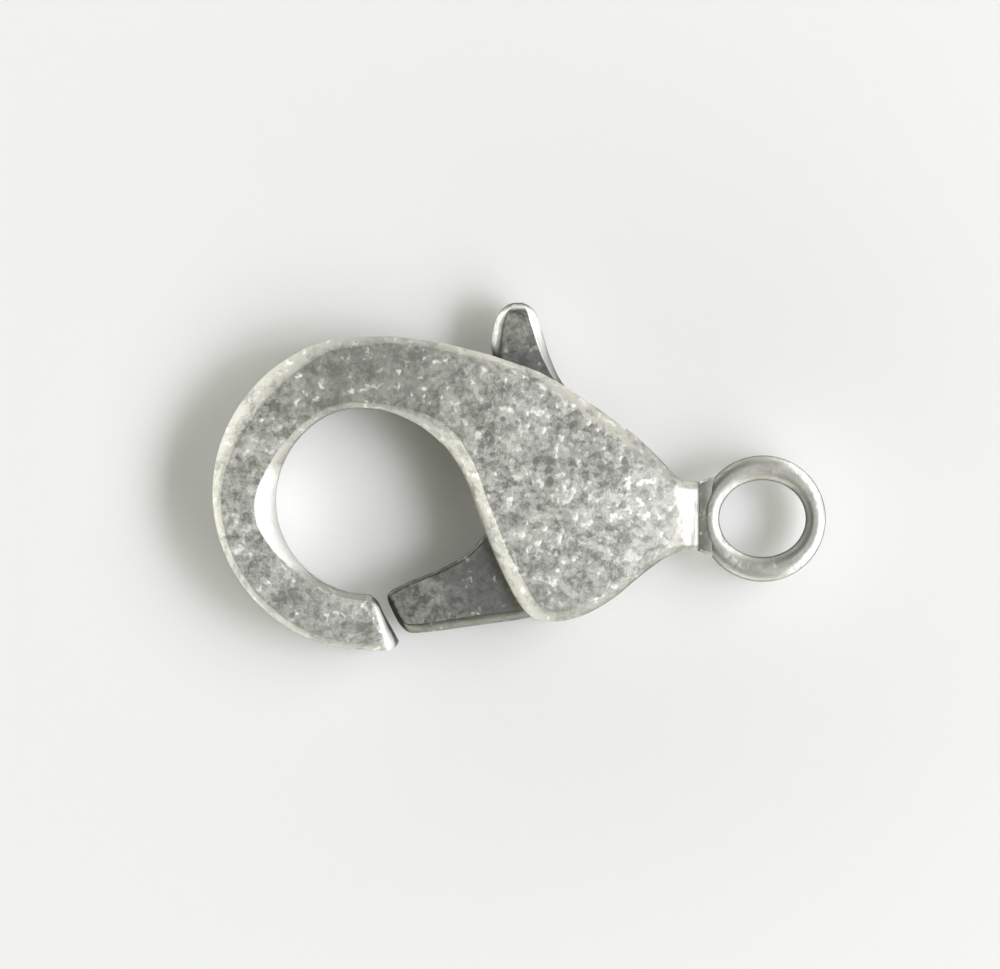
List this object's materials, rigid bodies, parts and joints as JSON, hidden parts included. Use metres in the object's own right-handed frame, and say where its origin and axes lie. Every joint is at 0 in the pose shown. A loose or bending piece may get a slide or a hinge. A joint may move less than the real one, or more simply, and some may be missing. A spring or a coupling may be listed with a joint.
{
  "type": "lobster clasp",
  "caption": "Cast lobster clasp with a round hook, a sprung gate lever with a thumb tab, and a bail ring.",
  "frame": {"origin": "centre of the bail ring's bore, halfway through the thickness", "axes": "+X from the hook to the bail ring, +Y towards the thumb tab, +Z out of the front cheek"},
  "size_m": [0.027, 0.0153, 0.0044],
  "materials": {
    "tumbled_casting": "tumbled antique silver plate",
    "smooth_casting": "smooth antique silver plate",
    "pin_metal": "antique silver plate",
    "spring_steel": "plain spring steel"
  },
  "bodies": {
    "body": {"clasp_body": "tumbled_casting", "pivot_pin": "pin_metal", "return_spring": "spring_steel"},
    "lever": {"gate_lever": "smooth_casting"}
  },
  "joints": [
    {"name": "lever_pivot", "type": "hinge", "parent": "body", "child": "lever", "pos_m": [-0.0084, -0.00041, 0], "axis": [0, 0, -1], "range_deg": [0, 28], "stiffness_Nm_per_rad": 0.03, "springref_deg": -17.19, "deforming": ["return_spring"]}
  ]
}
